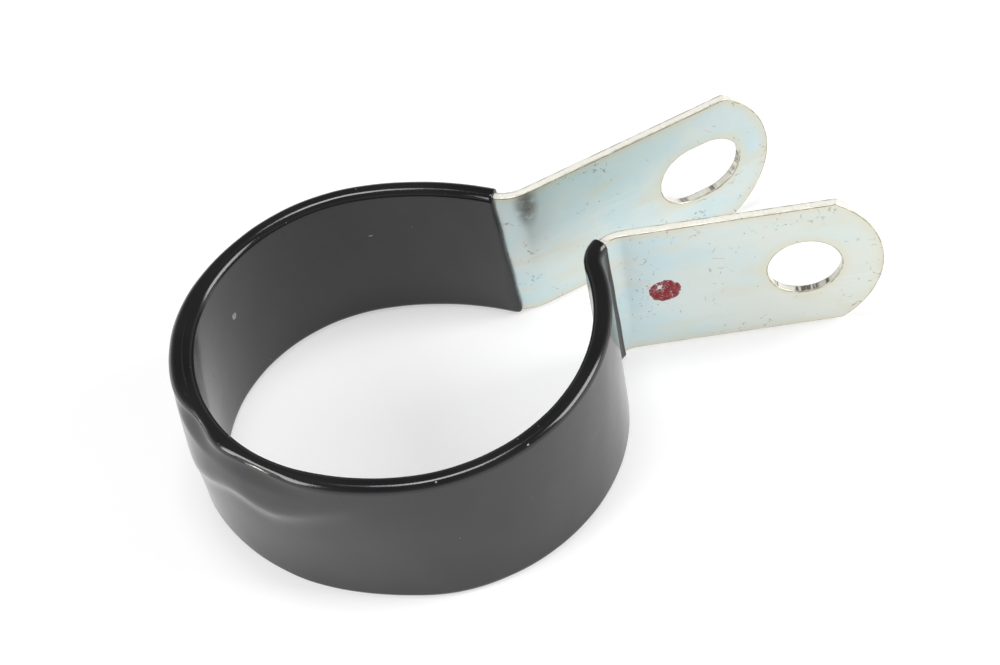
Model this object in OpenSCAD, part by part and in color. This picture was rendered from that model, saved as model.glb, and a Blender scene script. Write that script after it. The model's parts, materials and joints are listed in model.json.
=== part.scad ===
// Coated strap pipe clamp: one bent steel strap with two splayed ears, dipped in soft plastic.
// The origin is the centre of the pipe seat at mid width, +Z is the pipe axis and +X bisects the ears.
// The strap is one springy strip. It is cut at two flexures so that the two arms can close on the bow.

/* [Steel strap] */
// Width of the strap, along the pipe
strap_w = 25.4; // [20:0.1:32]
// Thickness of the strap
strap_t = 1.25; // [1:0.05:1.6]

/* [Plastic coating] */
// Thickness of the coating on the two broad faces
coat_t = 0.75; // [0.5:0.05:1]
// Thickness of the coating over the two long edges
coat_edge_t = 0.6; // [0.4:0.05:1]
// Chamfer along the coating's outer corners
coat_chamfer = 0.45; // [0.2:0.05:0.6]
// Turn of the front neck that the coating covers
front_coat_turn = 62; // [30:1:80]
// Turn of the rear neck that the coating covers
rear_coat_turn = 9; // [2:1:30]

/* [Loop] */
// Radius of the pipe seat, on the inside of the coating
seat_r = 25.4; // [20:0.1:32]
// Angle that the round seat covers
seat_angle = 153.8; // [120:0.1:170]
// Direction of the middle of the seat, from +X
seat_heading = 155.3; // [145:0.1:175]
// Centreline radius of the flatter flank on the front side
front_flank_r = 40; // [32:0.5:60]
// Turn of the front flank
front_flank_turn = 22; // [10:0.5:30]
// Centreline radius of the long shoulder on the front side
front_shoulder_r = 28.5; // [24:0.1:34]
// Turn of the front shoulder
front_shoulder_turn = 105.5; // [95:0.5:115]
// Centreline radius of the flatter flank on the rear side
rear_flank_r = 46; // [36:0.5:60]
// Turn of the rear flank
rear_flank_turn = 25; // [15:0.5:35]

/* [Necks and ears] */
// Angle between the two ears when nothing draws them together
ear_splay = 22.3; // [16:0.1:28]
// Centreline radius of the neck bend at the ear with the round hole
front_neck_r = 4.5; // [3.5:0.1:6]
// Centreline radius of the neck bend at the ear with the slot
rear_neck_r = 5.8; // [4.5:0.1:8]
// Length of the front ear, from its neck to its tip
front_ear_l = 37.7; // [30:0.1:45]
// Length of the rear ear, from its neck to its tip
rear_ear_l = 40; // [32:0.1:48]
// Radius of the rounded end of each ear
ear_end_r = 15.6; // [14:0.1:20]
// Distance from each bolt hole's centre to the tip of its ear
hole_edge = 11.7; // [9:0.1:15]
// Diameter of the round hole, and width of the slot
bolt_hole_d = 11; // [8:0.1:13]
// End to end length of the slot
slot_l = 13.5; // [11:0.1:18]

/* [Paint mark] */
// Diameter of the dab of paint on the front ear
mark_d = 4.9; // [3:0.1:7]
// Thickness of the paint
mark_t = 0.06; // [0.04:0.01:0.2]
// Distance from the front neck to the middle of the mark
mark_along = 5.2; // [3:0.1:12]
// Height of the middle of the mark above mid width
mark_up = -0.6; // [-5:0.1:5]

/* [Flexures] */
// Turn of the seat from its middle to the rear flexure
rear_flex_turn = 41.3; // [30:0.1:60]
// Turn of the front shoulder from its start to the front flexure
front_flex_turn = 33.8; // [20:0.1:50]
// Width of the cut at each flexure
flex_gap = 0.5; // [0.4:0.05:0.8]

/* [Hidden] */
$fn = 96;
// Neighbouring stretches end this far apart, and a seam of this size joins them.
seam_gap = 0.002;
seam_l = 0.1;
coated_t = strap_t + 2 * coat_t;
coated_w = strap_w + 2 * coat_edge_t;
seat_line_r = seat_r + coated_t / 2;

// A station on the strap's centreline is [x, y, heading]; a run is [radius, turn], where a
// positive turn bends left.  after() gives the station at the end of one run.
function across(a) = [-sin(a), cos(a)];
function centre_of(at, run) = [at[0], at[1]] + sign(run[1]) * run[0] * across(at[2]);
function after(at, run) =
    let (c = centre_of(at, run), p = c - sign(run[1]) * run[0] * across(at[2] + run[1]))
    [p[0], p[1], at[2] + run[1]];
function after_all(at, runs, i = 0) = i == len(runs) ? at : after_all(after(at, runs[i]), runs, i + 1);
function on_seat(a, facing) = [seat_line_r * cos(a), seat_line_r * sin(a), a + facing];

// Each side of a flexure is cut back by this turn, so the cut is flex_gap wide at the centreline.
function cut_turn(r) = flex_gap / 2 / r * 180 / PI;

// The front side leaves the seat by a flank and a shoulder, and its neck turns it out to the ear.
front_seat_end = on_seat(seat_heading + seat_angle / 2, 90);
front_shoulder = after(front_seat_end, [front_flank_r, front_flank_turn]);
front_flex = after(front_shoulder, [front_shoulder_r, front_flex_turn]);
front_neck = after(front_shoulder, [front_shoulder_r, front_shoulder_turn]);
front_neck_turn = 360 - ear_splay / 2 - front_neck[2];
front_ear = after(front_neck, [front_neck_r, front_neck_turn]);

// The rear side leaves the seat by a flank, and its neck turns it out to the ear.
rear_flex = on_seat(seat_heading - rear_flex_turn, -90);
rear_seat_end = on_seat(seat_heading - seat_angle / 2, -90);
rear_neck = after(rear_seat_end, [rear_flank_r, -rear_flank_turn]);
rear_neck_turn = ear_splay / 2 - rear_neck[2];
rear_ear = after(rear_neck, [rear_neck_r, rear_neck_turn]);

// The bow runs from the rear flexure round the seat to the front flexure.
bow_start = on_seat(seat_heading - rear_flex_turn + cut_turn(seat_line_r), 90);
bow_runs = [[seat_line_r, seat_angle / 2 + rear_flex_turn - cut_turn(seat_line_r)],
            [front_flank_r, front_flank_turn],
            [front_shoulder_r, front_flex_turn - cut_turn(front_shoulder_r)]];

// Each arm runs from its flexure to its neck.
front_start = after(front_flex, [front_shoulder_r, cut_turn(front_shoulder_r)]);
front_runs = [[front_shoulder_r, front_shoulder_turn - front_flex_turn - cut_turn(front_shoulder_r)]];
rear_start = after(rear_flex, [seat_line_r, -cut_turn(seat_line_r)]);
rear_runs = [[seat_line_r, rear_flex_turn + cut_turn(seat_line_r) - seat_angle / 2],
             [rear_flank_r, -rear_flank_turn]];

module strap_section(r) {
    translate([r - strap_t / 2, -strap_w / 2]) square([strap_t, strap_w]);
}

module coating_section(r) {
    x = coated_t / 2;
    y = coated_w / 2;
    c = coat_chamfer;
    difference() {
        translate([r, 0])
            polygon([[-x, c - y], [c - x, -y], [x - c, -y], [x, c - y],
                     [x, y - c], [x - c, y], [c - x, y], [-x, y - c]]);
        strap_section(r);
    }
}

// Carries the bare or the coating section along one run from a station.
module bend(at, run, coating) {
    c = centre_of(at, run);
    first = at[2] - sign(run[1]) * 90;
    translate([c[0], c[1], 0])
        rotate([0, 0, min(first, first + run[1])])
            rotate_extrude(angle = abs(run[1]))
                if (coating) coating_section(run[0]);
                else strap_section(run[0]);
}

// Joins two stretches that meet at a station, from inside the metal or the coating.
module seam(at, coating) {
    through = coating ? coat_t : strap_t;
    translate([at[0], at[1], 0])
        rotate([0, 0, at[2]])
            for (y = coating ? [-1, 1] * (strap_t + coat_t) / 2 : [0])
                translate([0, y, 0])
                    cube([seam_l, through - seam_l, strap_w - seam_l], center = true);
}

// Runs one after another, each but the last a hair short of the next, with a seam across.
module bends(at, runs, coating = false) {
    last = len(runs) - 1;
    for (i = [0 : last]) {
        start = after_all(at, [for (j = [0 : 1 : i - 1]) runs[j]]);
        short = i < last ? sign(runs[i][1]) * seam_gap / runs[i][0] * 180 / PI : 0;
        bend(start, [runs[i][0], runs[i][1] - short], coating);
        if (i > 0) seam(start, coating);
    }
}

// Flat outline of an ear: its neck is at x = 0 and its rounded tip at x = ear_l.
module ear_outline(ear_l) {
    intersection() {
        translate([0, -strap_w / 2]) square([ear_l, strap_w]);
        translate([ear_l - ear_end_r, 0]) circle(r = ear_end_r);
    }
    translate([seam_gap, -strap_w / 2]) square([ear_l - ear_end_r - seam_gap, strap_w]);
}

// A hole across the ear; stretch is how much longer than wide it is.
module bolt_hole(ear_l, stretch = 0) {
    for (end = [-1, 1])
        translate([ear_l - hole_edge + end * stretch / 2, 0]) circle(d = bolt_hole_d);
    if (stretch > 0)
        translate([ear_l - hole_edge - stretch / 2, -bolt_hole_d / 2]) square([stretch, bolt_hole_d]);
}

// Stands a flat outline up on the strap's centreline at a station.
module stand_up(at, thickness, offset = 0) {
    translate([at[0], at[1], 0])
        rotate([0, 0, at[2]])
            translate([0, offset + thickness / 2, 0])
                rotate([90, 0, 0])
                    linear_extrude(thickness) children();
}

module strap_bow() {
    color("gainsboro") bends(bow_start, bow_runs);
}

module strap_front_arm() {
    color("gainsboro") {
        bends(front_start, concat(front_runs, [[front_neck_r, front_neck_turn]]));
        seam(front_ear, false);
        stand_up(front_ear, strap_t)
            difference() {
                ear_outline(front_ear_l);
                bolt_hole(front_ear_l);
            }
    }
}

module strap_rear_arm() {
    color("gainsboro") {
        bends(rear_start, concat(rear_runs, [[rear_neck_r, rear_neck_turn]]));
        seam(rear_ear, false);
        stand_up(rear_ear, strap_t)
            difference() {
                ear_outline(rear_ear_l);
                bolt_hole(rear_ear_l, slot_l - bolt_hole_d);
            }
    }
}

module coating_bow() {
    color("dimgray") bends(bow_start, bow_runs, true);
}

module coating_front_arm() {
    color("dimgray")
        bends(front_start, concat(front_runs, [[front_neck_r, -front_coat_turn]]), true);
}

module coating_rear_arm() {
    color("dimgray")
        bends(rear_start, concat(rear_runs, [[rear_neck_r, rear_coat_turn]]), true);
}

// A dab of paint on the outer face of the front ear.
module paint_mark() {
    color("firebrick")
        stand_up(front_ear, mark_t, -(strap_t + mark_t) / 2)
            translate([mark_along, mark_up]) circle(d = mark_d);
}

strap_bow();
strap_front_arm();
strap_rear_arm();
coating_bow();
coating_front_arm();
coating_rear_arm();
paint_mark();
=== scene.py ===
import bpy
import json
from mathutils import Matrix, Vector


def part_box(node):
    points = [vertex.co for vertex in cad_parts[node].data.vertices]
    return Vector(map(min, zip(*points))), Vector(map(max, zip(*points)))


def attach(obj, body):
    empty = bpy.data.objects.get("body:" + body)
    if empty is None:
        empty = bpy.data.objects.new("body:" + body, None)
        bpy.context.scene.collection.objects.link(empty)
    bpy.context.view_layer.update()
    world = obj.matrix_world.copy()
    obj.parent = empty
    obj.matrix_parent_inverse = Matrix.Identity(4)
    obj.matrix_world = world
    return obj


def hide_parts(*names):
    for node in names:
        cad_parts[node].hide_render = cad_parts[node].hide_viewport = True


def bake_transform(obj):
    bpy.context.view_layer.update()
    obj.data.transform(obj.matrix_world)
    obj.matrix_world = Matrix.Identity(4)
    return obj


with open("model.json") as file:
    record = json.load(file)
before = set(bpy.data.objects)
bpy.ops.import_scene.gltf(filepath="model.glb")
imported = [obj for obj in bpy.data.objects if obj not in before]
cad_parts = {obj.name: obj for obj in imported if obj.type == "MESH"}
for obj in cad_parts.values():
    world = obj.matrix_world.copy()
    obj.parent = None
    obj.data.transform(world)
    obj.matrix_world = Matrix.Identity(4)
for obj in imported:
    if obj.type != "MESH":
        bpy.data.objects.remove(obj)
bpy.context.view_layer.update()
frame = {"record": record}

import json
import math

import bmesh
import bpy
import numpy as np
from mathutils import Matrix, Vector

# Coated strap clamp for a 2 inch tube.

# Steel strap: one strip of spring steel with a round hole punched in one ear and a slot in the other,
# rolled and bent to shape, then zinc plated.  It is drawn as two halves that meet under the coating at
# the back of the loop.
mounts = {mount["name"]: mount for mount in frame["record"]["mounts"]}
seat_r = mounts["pipe_seat"]["dims"]["r_mm"] / 1000
hole_r = mounts["bolt_hole"]["dims"]["r_mm"] / 1000
strap_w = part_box("strap_bow")[1][2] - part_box("strap_bow")[0][2]
strap_t = 0.00125
coat_t = 0.00075
seat_line_r = seat_r + coat_t + strap_t / 2
ear_end_r = 0.0156
hole_edge = 0.0117
slot_l = 0.0135
edge_r = 0.00016
# The plate is the part of an ear that holds its hole; each wall has wall_rows rows of points.
plate_l = 0.0262
wall_rows = 7
# The strap's runs, from the slotted ear's tip round the loop to the other ear's tip.
ear_l = {"rear": 0.040, "front": 0.0377}
arc_r = np.array([0.0058, 0.046, seat_line_r, 0.040, 0.0285, 0.0045])
arc_turn = np.radians([-47.75, 25, 153.8, 22, 105.5, -100.85])
slotted_ear_heading = math.radians(191.15)
run_l = np.concatenate([[ear_l["rear"]], arc_r * abs(arc_turn), [ear_l["front"]]])
run_turn = np.concatenate([[0], arc_turn, [0]])
run_start = np.cumsum(run_l) - run_l
strap_l = run_l.sum()
seat_run = 3
back_of_loop = 0.109


def chord(length, curvature, heading):
    """Step along an arc: length times the sinc of half its turn, in the direction halfway through it."""
    turn = length * curvature
    return length * np.sinc(turn / (2 * np.pi)) * np.exp(1j * (heading + turn / 2))


run_curve = run_turn / run_l
run_heading = slotted_ear_heading + np.cumsum(run_turn) - run_turn
run_chord = chord(run_l, run_curve, run_heading)
run_from = np.cumsum(run_chord) - run_chord
run_from -= run_from[seat_run] + seat_line_r * 1j * np.exp(1j * run_heading[seat_run])


def bent(s, z, lift):
    """Bends the flat strip: s along the middle line, z across the strip, lift out of its inner face.

    The middle line is the start of the arc that s falls in plus a chord of it, and the lift is added at
    right angles to the heading there, to the left.
    """
    i = np.clip(np.searchsorted(run_start, s, side="right") - 1, 0, len(run_l) - 1)
    along = s - run_start[i]
    heading = run_heading[i] + run_curve[i] * along
    spot = run_from[i] + chord(along, run_curve[i], run_heading[i]) + lift * 1j * np.exp(1j * heading)
    return np.stack([spot.real, spot.imag, z + 0 * spot.real], axis=-1)


def grid_faces(rows, columns, first=0):
    """Corner numbers of the quads between neighbouring points of a grid numbered row by row."""
    corner = first + np.arange(rows - 1)[:, None] * columns + np.arange(columns - 1)
    return np.stack([corner, corner + 1, corner + columns + 1, corner + columns], axis=-1).reshape(-1, 4)


weld_gap = 2e-6
sharp_turn = math.radians(50)


def welded(name, patches, facts):
    """Makes one closed mesh of grids of points that share their borders, and keeps facts about each point.

    A patch is a dict of arrays of one grid's shape: xyz, and one for each name in facts.  Points nearer
    than weld_gap become one, and edges that turn by more than sharp_turn stay sharp.
    """
    points = np.concatenate([patch["xyz"].reshape(-1, 3) for patch in patches])
    sizes = [patch["xyz"].shape[:2] for patch in patches]
    firsts = np.cumsum([0] + [rows * columns for rows, columns in sizes])
    quads = np.concatenate([grid_faces(*size, first) for size, first in zip(sizes, firsts)])
    mesh = bpy.data.meshes.new(name)
    mesh.from_pydata(points, [], quads)
    for fact in facts:
        values = np.concatenate([patch[fact].reshape(-1) for patch in patches])
        mesh.attributes.new(fact, "FLOAT", "POINT").data.foreach_set("value", values.astype(np.float32))
    work = bmesh.new()
    work.from_mesh(mesh)
    bmesh.ops.remove_doubles(work, verts=work.verts, dist=weld_gap)
    bmesh.ops.recalc_face_normals(work, faces=work.faces)
    work.to_mesh(mesh)
    work.free()
    mesh.shade_smooth()
    mesh.set_sharp_from_angle(angle=sharp_turn)
    piece = bpy.data.objects.new(name, mesh)
    bpy.context.scene.collection.objects.link(piece)
    return piece


def spread(low, high, fine, count):
    """Values from low to high, count of them evenly spaced between two sets of fine offsets from the ends."""
    fine = np.array(fine)
    even = np.linspace(low + fine[-1], high - fine[-1], count + 2)[1:-1]
    return np.concatenate([low + fine, even, (high - fine)[::-1]])


edge_steps = np.array([0, 0.012, 0.03, 0.055, 0.09, 0.13, 0.17, 0.26, 0.45]) / 1000
strip_z = spread(-strap_w / 2, strap_w / 2, edge_steps, 28)


def half_thickness(gap):
    """Half the strap's thickness at a distance from its edge: a quarter circle, then flat."""
    inward = np.clip(gap, 0, edge_r)
    return strap_t / 2 - edge_r + np.sqrt(edge_r ** 2 - (edge_r - inward) ** 2)


def edge_gaps(u, z, stretch):
    """Distances of a point of the ear from the strap's outline and from the rim of its hole."""
    side = strap_w / 2 - abs(z)
    end = np.where(u < ear_end_r, ear_end_r - np.hypot(u - ear_end_r, z), 1)
    along = np.maximum(abs(u - hole_edge) - stretch / 2, 0)
    return np.minimum(side, end), np.hypot(along, z) - hole_r


def strap_patch(u, z, lift, edge=0.0, wall=0.0, hole=0.0):
    """One grid of the strap with its facts: distance from the edge, and 1 on a sheared wall or a hole's."""
    facts = np.broadcast_arrays(u, z, lift, edge, wall, hole)
    return dict(zip(("u", "z", "lift", "edge", "wall", "hole"), facts))


def strap_half(name, end, stretch):
    """One half of the strap, u metres from its ear's tip: a ring of points round the hole, then the strip.

    The ring runs straight from each point of the hole's rim to one of the ear's outline, which is its
    rounded end, its two sides and a line across the strap.  Two faces lie half a thickness to each side
    of the middle, rounded off by half_thickness, and walls join them.
    """
    corner_u = ear_end_r - math.sqrt(ear_end_r ** 2 - strap_w ** 2 / 4)
    corner = math.asin(strap_w / 2 / ear_end_r)
    turn = np.linspace(-corner, corner, 97)
    side = np.linspace(corner_u, plate_l, 41)[1:]
    outer = np.concatenate([
        np.stack([ear_end_r - ear_end_r * np.cos(turn), ear_end_r * np.sin(turn)], -1),
        np.stack([side, np.full_like(side, strap_w / 2)], -1),
        np.stack([np.full(len(strip_z) - 1, plate_l), strip_z[::-1][1:]], -1),
        np.stack([side[::-1][1:], np.full(len(side) - 1, -strap_w / 2)], -1),
        [[corner_u, -strap_w / 2]]])
    away = outer - [hole_edge, 0]
    shift = np.clip(away[:, 0], -stretch / 2, stretch / 2)
    away[:, 0] -= shift
    reach = np.hypot(*away.T)[:, None]
    way = away / reach
    rim = way * hole_r + np.stack([hole_edge + shift, 0 * shift], -1)
    reach = reach - hole_r
    near = edge_steps / reach
    between = near[:, -1:] + (1 - 2 * near[:, -1:]) * np.linspace(0, 1, 18)[1:-1]
    steps = np.concatenate([near, between, 1 - near[:, ::-1]], axis=1)
    ring = rim[:, None] * (1 - steps[..., None]) + outer[:, None] * steps[..., None]
    bend_from = ear_l[end] - 0.0005
    bend_to = ear_l[end] + {"rear": 0.006, "front": 0.0095}[end]
    far = back_of_loop if end == "rear" else strap_l - back_of_loop
    strip_u = np.concatenate([np.linspace(plate_l, bend_from, 10)[:-1],
                              np.linspace(bend_from, bend_to, 49)[:-1],
                              np.linspace(bend_to, far, 90)])
    strip = np.stack(np.meshgrid(strip_u, strip_z, indexing="ij"), -1)
    tip, plate_corner = len(turn) // 2, len(turn) + len(side)
    top_run = np.stack([strip_u[1:], np.full(len(strip_u) - 1, strap_w / 2)], -1)
    edge_top = np.concatenate([outer[tip:plate_corner], top_run])
    edge_bottom = edge_top * [1, -1]
    sheets = [(ring, 1), (ring, -1), (strip, 1), (strip, -1)]
    walls = [rim, edge_top, edge_bottom]
    patches = []
    for flat, face in sheets:
        gap, hole_gap = edge_gaps(flat[..., 0], flat[..., 1], stretch)
        gap = np.minimum(gap, np.where(flat[..., 0] <= plate_l, hole_gap, 1))
        patches.append(strap_patch(flat[..., 0], flat[..., 1], face * half_thickness(gap), gap))
    row = np.linspace(-1, 1, wall_rows)[:, None]
    for flat in walls:
        level = row * (strap_t / 2 - edge_r)
        sheared = 1 - (abs(level) * 2 / strap_t) ** 8
        patches.append(strap_patch(flat[:, 0], flat[:, 1], level, 0.0, sheared, float(flat is rim)))
    patches.append(strap_patch(far, strip_z, row * half_thickness(strap_w / 2 - abs(strip_z))))
    for patch in patches:
        patch["s"] = patch["u"] if end == "rear" else strap_l - patch["u"]
        patch["xyz"] = bent(patch["s"], patch["z"], patch["lift"])
    return welded(name, patches, ["s", "z", "lift", "edge", "wall", "hole"])


strap_front = strap_half("strap_front_half", "front", 0)
strap_rear = strap_half("strap_rear_half", "rear", slot_l - 2 * hole_r)


def put(tree, kind, inputs=None, **settings):
    """Adds a shader node: settings are its own, and each input takes a number, a colour or an output."""
    node = tree.nodes.new("ShaderNode" + kind)
    for name, value in settings.items():
        setattr(node, name, value)
    for name, value in (inputs or {}).items():
        if isinstance(value, bpy.types.NodeSocket):
            tree.links.new(value, node.inputs[name])
        else:
            node.inputs[name].default_value = value
    return node


def ramp(tree, value, low, high, ease=True):
    """Runs from 0 where value is low to 1 where it is high."""
    node = put(tree, "MapRange", {"Value": value, "From Min": low, "From Max": high},
               interpolation_type="SMOOTHSTEP" if ease else "LINEAR")
    return node.outputs["Result"]


def maths(tree, operation, *values):
    """One sum, product or other operation on numbers or outputs."""
    return put(tree, "Math", dict(enumerate(values)), operation=operation).outputs[0]


def mixed(tree, share, first, second):
    """Colour between first and second: all first where share is 0, all second where it is 1."""
    node = put(tree, "Mix", {"Factor": share, 6: first, 7: second}, data_type="RGBA")
    return node.outputs[2]


def tinted(tree, colour, share, strength, tint):
    """The colour with a tint laid over it, as much as share times strength."""
    return mixed(tree, maths(tree, "MULTIPLY", share, strength), colour, tint)


def noise(tree, place, scale, detail=3, rough=0.5, twist=0.0):
    """Cloudy noise from 0 to 1, scale blobs to the metre."""
    node = put(tree, "TexNoise", {"Vector": place, "Scale": scale, "Detail": detail, "Roughness": rough,
                                  "Distortion": twist})
    return node.outputs["Fac"]


def stretched(tree, place, along, across, through=1.0, turn=0.0):
    """The same places, squeezed so that a pattern on them is drawn out, after a turn about the third axis."""
    scale = (along, across, through)
    return put(tree, "Mapping", {"Vector": place, "Rotation": (0, 0, turn), "Scale": scale}).outputs["Vector"]


def dots(tree, place, scale, size, share):
    """Sparse round dots: 1 inside a dot. Of the cells of a scale to the metre, this share holds one."""
    cells = put(tree, "TexVoronoi", {"Vector": place, "Scale": scale})
    chance = put(tree, "SeparateColor", {"Color": cells.outputs["Color"]}).outputs[0]
    chosen = maths(tree, "LESS_THAN", chance, share)
    return maths(tree, "MULTIPLY", chosen, ramp(tree, cells.outputs["Distance"], size, size * 0.5))


def around(tree, place, centre, reach, inner=0.2):
    """1 near a centre, falling to 0 at the reach (along, across, through) of an egg shape round it."""
    scaled = put(tree, "VectorMath", {0: place, 1: centre}, operation="SUBTRACT").outputs[0]
    scaled = put(tree, "VectorMath", {0: scaled, 1: reach}, operation="DIVIDE").outputs[0]
    far = put(tree, "VectorMath", {0: scaled}, operation="LENGTH").outputs["Value"]
    return ramp(tree, far, 1.0, inner)


def fact(tree, name):
    """A number kept at each point of the mesh."""
    return put(tree, "Attribute", attribute_name=name).outputs["Fac"]


def new_material(name):
    """A material with an empty node tree but for its shader."""
    material = bpy.data.materials.new(name)
    material.use_nodes = True
    return material, material.node_tree, material.node_tree.nodes["Principled BSDF"]


def bumped(tree, shader, *layers):
    """Stacks bumps: each layer is a height from 0 to 1 and the depth in metres that 1 stands for."""
    normal = None
    for height, depth in layers:
        bump = put(tree, "Bump", {"Height": height, "Distance": depth, "Strength": 1.0})
        if normal:
            tree.links.new(normal, bump.inputs["Normal"])
        normal = bump.outputs["Normal"]
    tree.links.new(normal, shader.inputs["Normal"])


def zinc_finish():
    """Bright zinc: bluish in the open and cream towards the edges, with rolling grain, scratches and pits.

    The flat strip's own places (s, z, lift) carry the pattern, so the grain follows the bends.  Sheared
    walls are paler and dull, and the holes' walls are torn in places.
    """
    material, tree, shader = new_material("zinc_plate")
    edge, wall = fact(tree, "edge"), fact(tree, "wall")
    flat_place = {0: fact(tree, "s"), 1: fact(tree, "z"), 2: fact(tree, "lift")}
    place = put(tree, "CombineXYZ", flat_place).outputs[0]
    cloud = noise(tree, place, 90, 4, 0.55, 0.4)
    bands = noise(tree, stretched(tree, place, 0.5, 1.4), 160, 3)
    grain = noise(tree, stretched(tree, place, 0.04, 1), 5200, 2)
    fine = noise(tree, place, 2600, 3, 0.6)
    scratch_a = noise(tree, stretched(tree, place, 0.03, 1, 1, 0.5), 900, 1, 0.4, 0.8)
    scratch_b = noise(tree, stretched(tree, place, 0.05, 1, 1, -0.9), 700, 1, 0.4, 1.2)
    scratches = maths(tree, "MAXIMUM", ramp(tree, scratch_a, 0.70, 0.76), ramp(tree, scratch_b, 0.71, 0.77))
    pits = dots(tree, place, 800, 0.11, 0.16)
    wander = put(tree, "TexNoise", {"Vector": place, "Scale": 700, "Detail": 3}).outputs["Color"]
    wander = put(tree, "VectorMath", {0: wander, 1: (0.0016,) * 3}, operation="MULTIPLY").outputs[0]
    strayed = put(tree, "VectorMath", {0: place, 1: wander}, operation="ADD").outputs[0]
    net = put(tree, "TexVoronoi", {"Vector": strayed, "Scale": 330}, feature="DISTANCE_TO_EDGE")
    patchy = maths(tree, "MULTIPLY", ramp(tree, noise(tree, place, 210, 2), 0.51, 0.63),
                   ramp(tree, noise(tree, place, 1300, 1), 0.48, 0.59))
    hairs = maths(tree, "MULTIPLY", ramp(tree, net.outputs["Distance"], 0.024, 0.010), patchy)
    worn_end = ramp(tree, fact(tree, "s"), strap_l - 0.034, strap_l - 0.012)
    near_edge = ramp(tree, maths(tree, "ADD", edge, maths(tree, "MULTIPLY", cloud, 0.0012)), 0.0026, 0.0004)
    colour = mixed(tree, ramp(tree, cloud, 0.36, 0.62), (0.575, 0.71, 0.73, 1), (0.66, 0.73, 0.71, 1))
    colour = tinted(tree, colour, worn_end, 0.6, (0.70, 0.71, 0.63, 1))
    colour = tinted(tree, colour, ramp(tree, bands, 0.5, 0.7), 0.55, (0.67, 0.66, 0.56, 1))
    colour = tinted(tree, colour, near_edge, 0.75, (0.69, 0.66, 0.53, 1))
    colour = tinted(tree, colour, scratches, 0.09, (0.93, 0.93, 0.90, 1))
    colour = tinted(tree, colour, hairs, 0.65, (0.26, 0.19, 0.14, 1))
    colour = tinted(tree, colour, pits, 0.8, (0.20, 0.15, 0.10, 1))
    smudge = around(tree, place, (0.0402, 0.0102, 0.0006), (0.0023, 0.0060, 0.0010), 0.1)
    smudge = maths(tree, "MULTIPLY", smudge, ramp(tree, noise(tree, place, 500, 4, 0.6), 0.20, 0.60))
    colour = tinted(tree, colour, smudge, 0.85, (0.17, 0.155, 0.13, 1))
    shear = noise(tree, stretched(tree, place, 1, 1, 0.10), 2600, 3)
    patches = noise(tree, stretched(tree, place, 1, 1, 0.1), 260, 2)
    torn = maths(tree, "MULTIPLY", fact(tree, "hole"), ramp(tree, patches, 0.52, 0.60))
    torn = maths(tree, "MULTIPLY", torn, ramp(tree, shear, 0.36, 0.56))
    sheared = mixed(tree, ramp(tree, shear, 0.3, 0.7), (0.82, 0.79, 0.70, 1), (0.88, 0.86, 0.79, 1))
    colour = mixed(tree, wall, colour, sheared)
    colour = mixed(tree, torn, colour, (0.16, 0.15, 0.13, 1))
    # Painted shade: a thin dark brown line along the rounded corner of every face edge and hole rim, where
    # the corner turns away from the light, broken up by noise.
    painted_edge_shade = maths(tree, "MULTIPLY", ramp(tree, edge, 0.00026, 0.00012), ramp(tree, edge, 0.00002, 0.00008))
    painted_edge_shade = maths(tree, "MULTIPLY", painted_edge_shade, ramp(tree, noise(tree, place, 900, 3), 0.30, 0.60))
    colour = tinted(tree, colour, painted_edge_shade, 0.8, (0.27, 0.22, 0.15, 1))
    tree.links.new(ramp(tree, wall, 1.25, 0.0, ease=False), shader.inputs["Metallic"])
    rough = maths(tree, "ADD", maths(tree, "MULTIPLY", fine, 0.16), maths(tree, "MULTIPLY", cloud, 0.12))
    rough = maths(tree, "ADD", maths(tree, "ADD", rough, 0.24), maths(tree, "MULTIPLY", wall, 0.12))
    rough = maths(tree, "ADD", rough, maths(tree, "MULTIPLY", maths(tree, "MAXIMUM", smudge, pits), 0.2))
    tree.links.new(colour, shader.inputs["Base Color"])
    tree.links.new(rough, shader.inputs["Roughness"])
    dents = maths(tree, "SUBTRACT", maths(tree, "MULTIPLY", torn, -0.6), pits)
    bumped(tree, shader, (cloud, 0.00002), (grain, 0.000002), (fine, 0.000003), (dents, 0.00002),
           (maths(tree, "MULTIPLY", shear, wall), 0.000004))
    return material


# Each half's arm, with a point at the back of the loop and a point on the arm; the loops below do not use
# them.
front_flex = ("front_arm", (-0.020, -0.020, 0), (0.027, -0.023, 0))
rear_flex = ("rear_arm", (-0.0266, 0.0033, 0), (0.0236, 0.0181, 0))
zinc = zinc_finish()
for half, (arm, start, end), nodes in ((strap_front, front_flex, ["strap_front_arm", "strap_bow"]),
                                       (strap_rear, rear_flex, ["strap_rear_arm"])):
    half.data.materials.append(zinc)
    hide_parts(*nodes)
    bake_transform(half)

# Coating: soft black vinyl.  The loop was heated and dipped, so one skin runs round the strap's faces and
# edges, rounded at the rims, and stops with a step at each neck.  A drip set as a lump at the back of it.
coated_t = strap_t + 2 * coat_t
coated_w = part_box("coating_bow")[1][2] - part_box("coating_bow")[0][2]
rim_r = 0.00115
lip_r = 0.00035
tuck = 0.00003
# The coating's ends: how far along the strap they lie at mid width, and how far they lean across it.
coat_ends = {"rear": (0.04394, 0.050), "front": (0.20952, -0.024)}


def section(half_t, half_w, corner_r):
    """Outline of a bar with rounded corners: lift and z of points that run once round it."""
    face = spread(-1, 1, [0, 0.01, 0.03, 0.06], 34)
    quarter = np.linspace(0, np.pi / 2, 12)[1:-1]
    flat_t, flat_w = half_t - corner_r, half_w - corner_r
    out, over = corner_r * np.cos(quarter), corner_r * np.sin(quarter)
    side = flat_t * np.linspace(1, -1, 5)
    lift = np.concatenate([np.full_like(face, half_t), flat_t + out, side, -flat_t - over])
    z = np.concatenate([flat_w * face, flat_w + over, np.full_like(side, half_w), flat_w + out])
    return np.concatenate([lift, -lift, lift[:1]]), np.concatenate([z, -z, z[:1]])


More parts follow.
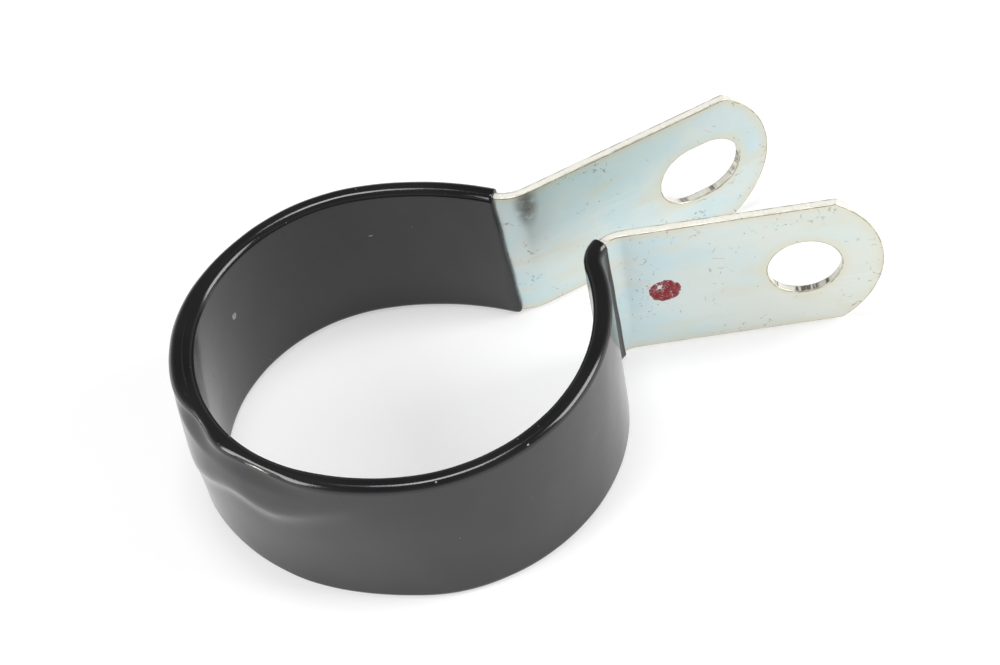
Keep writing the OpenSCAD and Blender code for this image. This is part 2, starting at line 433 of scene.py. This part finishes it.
def hump(value, low, high, soft):
    """1 between low and high, falling off smoothly over a length soft on each side."""
    rise = np.clip((value - low) / soft + 1, 0, 1)
    fall = np.clip((high - value) / soft + 1, 0, 1)
    return rise * rise * (3 - 2 * rise) * fall * fall * (3 - 2 * fall)


def eased(s, places, values):
    """Values at places along the strap, joined by straight lines and then averaged over 5 mm."""
    shifts = np.linspace(-0.0025, 0.0025, 9)
    return np.mean([np.interp(s + shift, places, values) for shift in shifts], axis=0)


def skin_swell(s, z, lift):
    """How much thicker than even the skin is, in metres: slow waves, and the drip on the outer face.

    The drip is a swelling all the way down at the back, thinned out low beside it, and a ridge below the
    upper rim that rises gently from two hollows under the rim and falls off steeply along a wandering line.
    """
    waves = np.sin(s * 410 + z * 90) * np.sin(z * 260 + s * 150 + 1)
    waves = waves + 0.6 * np.sin(s * 930 - z * 310 + lift * 900)
    outside = np.clip(-lift / (coated_t / 2), 0, 1)
    back = 0.00135 * hump(s, 0.1040, 0.1110, 0.021) * (0.85 + 0.15 * np.cos(z * 190))
    thin = -0.00056 * hump(s, 0.1230, 0.1440, 0.015) * hump(z, -0.02, -0.0105, 0.019)
    line = eased(s, [0.1080, 0.1137, 0.1200, 0.1265, 0.1310, 0.1355, 0.1430, 0.1500],
                 [-0.0045, -0.0005, 0.0030, 0.0066, 0.0048, 0.0056, 0.0086, 0.0110])
    away = z - line
    ridge = np.exp(-np.where(away < 0, away / 0.0021, away / 0.0040) ** 2)
    height = eased(s, [0.1050, 0.1130, 0.1190, 0.1245, 0.1310, 0.1380, 0.1480],
                   [0, 0.00010, 0.00070, 0.00050, 0.00080, 0.00035, 0])
    hollows = 0.00140 * np.exp(-((s - 0.1187) / 0.0040) ** 2)
    hollows = hollows + 0.00078 * np.exp(-((s - 0.1312) / 0.0054) ** 2)
    hollows = -hollows * hump(z, 0.0120, 1, 0.0026)
    return 0.000010 * waves + outside * (back + thin + ridge * height + hollows)


def coating_half(name, end):
    """One half of the skin: cover is 0 on the strap and 1 on the outer surface, and drop counts from the end.

    The outer surface rounds down to the step at its end by a quarter circle, the step goes down to the
    strap, and an inner surface, a tuck below the steel's own, closes the shell.
    """
    middle, lean = coat_ends[end]
    total = abs(back_of_loop - middle)
    outer_lift, outer_z = section(coated_t / 2, coated_w / 2, rim_r)
    inner_lift, inner_z = section(strap_t / 2 - tuck, strap_w / 2 - tuck, edge_r)
    round_off = np.linspace(0, np.pi / 2, 9)
    fine_l = 0.004
    drop = np.concatenate([np.zeros(4), lip_r * (1 - np.cos(round_off)),
                           lip_r + np.geomspace(0.0001, fine_l, 14),
                           np.linspace(lip_r + fine_l, total - tuck, int(total / 0.0004)),
                           [total, total]])
    step = np.linspace(0, 1 - lip_r / coat_t, 5)[:-1]
    lip = 1 - lip_r / coat_t * (1 - np.sin(round_off))
    cover = np.concatenate([step, lip, np.ones(len(drop) - len(step) - len(lip))])
    cover[-1] = 0
    uneven = 0.00005 * np.sin(outer_z * 700 + outer_lift * 900)
    if end == "rear":
        uneven += 0.0007 * np.clip((-outer_z - 0.0112) / 0.0021, 0, 1) ** 2
    edge = middle + lean * outer_z + uneven
    s = edge + (back_of_loop - edge) * (drop / total)[:, None]
    cover = cover[:, None]
    lift = inner_lift + (outer_lift - inner_lift) * cover
    z = inner_z + (outer_z - inner_z) * cover
    swell = skin_swell(s, z, lift) * cover * hump(drop, 0.002, 1, 0.002)[:, None]
    out = np.stack([outer_lift - inner_lift, outer_z - inner_z])
    out = out / np.hypot(*out)
    inner_s = np.concatenate([s[:1], s[4:-1:5], s[-1:]])
    return welded(name, [{"xyz": bent(s, z + swell * out[1], lift + swell * out[0])},
                         {"xyz": bent(inner_s, inner_z + 0 * inner_s, inner_lift + 0 * inner_s)}], [])


coat_front = coating_half("coating_front_half", "front")
coat_rear = coating_half("coating_rear_half", "rear")


def vinyl_finish():
    """Dipped vinyl: black and glossy, faintly uneven as it set, with dust, small rubs and bright nicks."""
    material, tree, shader = new_material("soft_coating")
    place = put(tree, "TexCoord").outputs["Object"]
    cloud = noise(tree, place, 70, 3, 0.5)
    skin = noise(tree, place, 420, 2, 0.5)
    fine = noise(tree, place, 6500, 2, 0.5)
    dust = maths(tree, "MULTIPLY", dots(tree, place, 620, 0.10, 0.07), ramp(tree, cloud, 0.30, 0.60))
    specks = maths(tree, "MAXIMUM", dust, dots(tree, place, 190, 0.045, 0.10))
    rubs = ramp(tree, noise(tree, stretched(tree, place, 1, 1, 0.12, 0.6), 1500, 2, 0.5, 0.5), 0.72, 0.80)
    rim = ramp(tree, maths(tree, "ABSOLUTE", put(tree, "SeparateXYZ", {0: place}).outputs[2]),
               coated_w / 2 - 0.0010, coated_w / 2 - 0.0004)
    nicks = maths(tree, "MULTIPLY", rim, dots(tree, stretched(tree, place, 1, 1, 2), 520, 0.13, 0.10))
    chip = around(tree, place, (-0.01779, 0.01813, 0.0036), (0.0006, 0.0006, 0.0008), 0.6)
    small_chip = around(tree, place, (0.0052, 0.0249, 0.0044), (0.0004, 0.0004, 0.0002), 0.5)
    chip = maths(tree, "MAXIMUM", chip, small_chip)
    chip = maths(tree, "MULTIPLY", chip, ramp(tree, noise(tree, place, 2600, 3, 0.7), 0.30, 0.50))
    marks = maths(tree, "MAXIMUM", chip, maths(tree, "MAXIMUM", specks, nicks))
    colour = mixed(tree, ramp(tree, cloud, 0.35, 0.65), (0.010, 0.010, 0.011, 1), (0.015, 0.0145, 0.0145, 1))
    colour = tinted(tree, colour, rubs, 0.5, (0.035, 0.035, 0.036, 1))
    colour = tinted(tree, colour, specks, 0.35, (0.30, 0.30, 0.30, 1))
    colour = tinted(tree, colour, maths(tree, "MAXIMUM", nicks, chip), 0.8, (0.36, 0.35, 0.33, 1))
    rough = maths(tree, "ADD", 0.11, maths(tree, "MULTIPLY", cloud, 0.08))
    rough = maths(tree, "ADD", rough, maths(tree, "MULTIPLY", maths(tree, "MAXIMUM", marks, rubs), 0.3))
    tree.links.new(colour, shader.inputs["Base Color"])
    tree.links.new(rough, shader.inputs["Roughness"])
    shader.inputs["IOR"].default_value = 1.52
    bumped(tree, shader, (cloud, 0.00010), (skin, 0.000008), (fine, 0.0000006), (marks, 0.00003))
    return material


vinyl = vinyl_finish()
for half, (arm, start, end), nodes in ((coat_front, front_flex, ["coating_front_arm", "coating_bow"]),
                                       (coat_rear, rear_flex, ["coating_rear_arm"])):
    half.data.materials.append(vinyl)
    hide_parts(*nodes)
    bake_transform(half)

# Paint mark: a dab of dark red paint on the front ear's outer face, put on over the zinc by hand.
# It is thin, uneven and flaking, and small specks of it lie around.
mark_low, mark_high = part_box("paint_mark")
mark_s = strap_l - ear_l["front"] + 0.0052
mark_z = (mark_low[2] + mark_high[2]) / 2
mark_r = (mark_high[2] - mark_low[2]) / 2
paint_t = 0.00004
paint_root = -0.00008


def soft_noise(x, y, scale, seed):
    """Smooth random heights from -1 to 1: values on a square lattice, scale to the metre, eased between."""
    lattice = np.random.default_rng(seed).uniform(-1, 1, (64, 64))
    x, y = x * scale + 32, y * scale + 32
    i, j = np.floor(x).astype(int) % 63, np.floor(y).astype(int) % 63
    a, b = x - np.floor(x), y - np.floor(y)
    a, b = a * a * (3 - 2 * a), b * b * (3 - 2 * b)
    low = lattice[i, j] * (1 - a) + lattice[i + 1, j] * a
    high = lattice[i, j + 1] * (1 - a) + lattice[i + 1, j + 1] * a
    return low * (1 - b) + high * b


def on_ear(x, y, height, thick):
    """A patch of paint: x and y from the mark's middle, and a height above the ear's outer face."""
    return {"xyz": bent(mark_s + x, mark_z + y, -strap_t / 2 - height), "thick": thick + 0 * x}


def paint_dab():
    """A round grid whose height is the paint's thickness: under the metal's face where the paint flaked off.

    The grid's last ring turns down into the metal, and a flat grid inside the metal closes it.
    """
    turn, reach = np.meshgrid(np.linspace(0, 2 * np.pi, 181), np.linspace(0, 1, 61), indexing="ij")
    outline = 0.98 + 0.03 * np.sin(2 * turn + 0.4) + 0.02 * np.sin(5 * turn) + 0.012 * np.sin(11 * turn + 2)
    outline = mark_r * outline
    x, y = reach * outline * np.cos(turn), reach * outline * np.sin(turn)
    bits = soft_noise(x, y, 2600, 3) + 0.6 * soft_noise(x, y, 5200, 4) + 0.8 * soft_noise(x, y, 1300, 5)
    rubbed = 0.80 * np.exp(-((x + 0.0004) / 0.0011) ** 2 - ((y - 0.0012) / 0.0009) ** 2)
    thick = 0.78 + 0.42 * bits - rubbed - 0.9 * reach ** 12
    height = np.clip(thick, -0.5, 1) * paint_t
    height[:, -1] = paint_root
    ends = np.s_[:, [0, -1]]
    return [on_ear(x, y, height, np.clip(thick, 0, 1)), on_ear(x[ends], y[ends], paint_root, 0)]


def paint_specks(count):
    """Small domes of paint thrown off the dab towards the neck, each a grid of rings round its middle."""
    chance = np.random.default_rng(11)
    turn = np.linspace(0, 2 * np.pi, 9)
    ring = np.array([0, 0.6, 1, 1, 0])[:, None]
    level = np.array([1, 0.8, -0.4, -2, -2])[:, None]
    along = chance.normal(-0.0031, 0.0012, count)
    across = chance.normal(-0.0006, 0.0028, count)
    radius = chance.uniform(0.00004, 0.00013, count)
    for x, y, r in zip(along, across, radius):
        yield on_ear(x + r * ring * np.cos(turn), y + r * ring * np.sin(turn), level * paint_t / 2, 0.8)


mark = welded("paint_dab", paint_dab() + list(paint_specks(46)), ["thick"])


def paint_finish():
    """Dark red paint, darker where thick, rubbed pale where thin, with whitish flecks."""
    material, tree, shader = new_material("red_paint")
    place = put(tree, "TexCoord").outputs["Object"]
    thick = fact(tree, "thick")
    cloud = noise(tree, place, 1500, 4, 0.6)
    flecks = ramp(tree, noise(tree, place, 4200, 2, 0.5), 0.60, 0.68)
    colour = mixed(tree, ramp(tree, thick, 0.05, 0.7), (0.48, 0.20, 0.20, 1), (0.33, 0.020, 0.032, 1))
    colour = mixed(tree, ramp(tree, cloud, 0.42, 0.66), colour, (0.40, 0.05, 0.062, 1))
    colour = tinted(tree, colour, flecks, 0.7, (0.80, 0.74, 0.72, 1))
    tree.links.new(colour, shader.inputs["Base Color"])
    tree.links.new(maths(tree, "ADD", 0.38, maths(tree, "MULTIPLY", cloud, 0.3)), shader.inputs["Roughness"])
    shader.inputs["Specular IOR Level"].default_value = 0.25
    bumped(tree, shader, (cloud, 0.00002), (flecks, 0.00001))
    return material


mark.data.materials.append(paint_finish())
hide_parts("paint_mark")
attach(mark, "front_arm")

# Studio: a plain pale floor that the clamp stands on, with large soft lamps to the left, right and above,
# in a dim room that is darkest overhead.
floor_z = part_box("coating_bow")[0][2]
rings = np.array([0.0, 0.3, 0.8, 2.0])[:, None]
turns = np.linspace(0, 2 * np.pi, 65)
disc = np.stack([rings * np.cos(turns), rings * np.sin(turns), floor_z + 0 * rings * turns], -1)
floor_mesh = bpy.data.meshes.new("floor")
floor_mesh.from_pydata(disc.reshape(-1, 3), [], grid_faces(*disc.shape[:2])[:, ::-1])
floor = bpy.data.objects.new("floor", floor_mesh)
bpy.context.scene.collection.objects.link(floor)
paper, tree, shader = new_material("white_paper")
paper_cloud = noise(tree, put(tree, "TexCoord").outputs["Object"], 3, 2)
paper_tone = mixed(tree, paper_cloud, (0.54, 0.54, 0.54, 1), (0.56, 0.56, 0.56, 1))
tree.links.new(paper_tone, shader.inputs["Base Color"])
shader.inputs["Roughness"].default_value = 0.9
shader.inputs["Specular IOR Level"].default_value = 0.1
shader.inputs["Emission Color"].default_value = (1, 1, 1, 1)
shader.inputs["Emission Strength"].default_value = 0.50
floor.data.materials.append(paper)

world = bpy.data.worlds.new("studio")
bpy.context.scene.world = world
world.use_nodes = True
tree = world.node_tree
height = put(tree, "SeparateXYZ", {0: put(tree, "TexCoord").outputs["Generated"]}).outputs[2]
sky = mixed(tree, ramp(tree, height, 0.05, 0.60), (0.42, 0.42, 0.42, 1), (0.07, 0.07, 0.072, 1))
tree.links.new(sky, tree.nodes["Background"].inputs["Color"])


def soft_lamp(name, place, size, watts, aim=(0.015, 0, 0)):
    """A square lamp, size metres wide, turned to face a point on the clamp."""
    lamp = bpy.data.objects.new(name, bpy.data.lights.new(name, "AREA"))
    lamp.data.shape = "SQUARE"
    lamp.data.size = size
    lamp.data.energy = watts
    lamp.location = place
    lamp.rotation_euler = (Vector(aim) - Vector(place)).to_track_quat("-Z", "Y").to_euler()
    bpy.context.scene.collection.objects.link(lamp)


soft_lamp("lamp_left", (-0.70, -0.16, 0.36), 0.46, 5.6)
soft_lamp("lamp_right", (0.70, -0.20, 0.38), 0.46, 5.6)
soft_lamp("lamp_above", (0.02, 0.05, 0.85), 0.30, 3.0)

# Camera: above and in front of the clamp, a little rolled, with a long lens.
azimuth, elevation, roll = math.radians(-6.85), math.radians(49.94), math.radians(-11.778)
camera = bpy.data.objects.new("camera", bpy.data.cameras.new("camera"))
camera.data.lens = 106.6
camera.data.sensor_width = 36
camera.data.clip_start = 0.01
turned = (Matrix.Rotation(azimuth, 4, "Z") @ Matrix.Rotation(math.pi / 2 - elevation, 4, "X")
          @ Matrix.Rotation(roll, 4, "Z"))
aim = Vector((0.01880, 0.00377, -0.00081))
camera.matrix_world = Matrix.Translation(aim + turned @ Vector((0, 0, 0.43546))) @ turned
bpy.context.scene.collection.objects.link(camera)
bpy.context.scene.camera = camera
bpy.context.scene.view_settings.view_transform = "Standard"
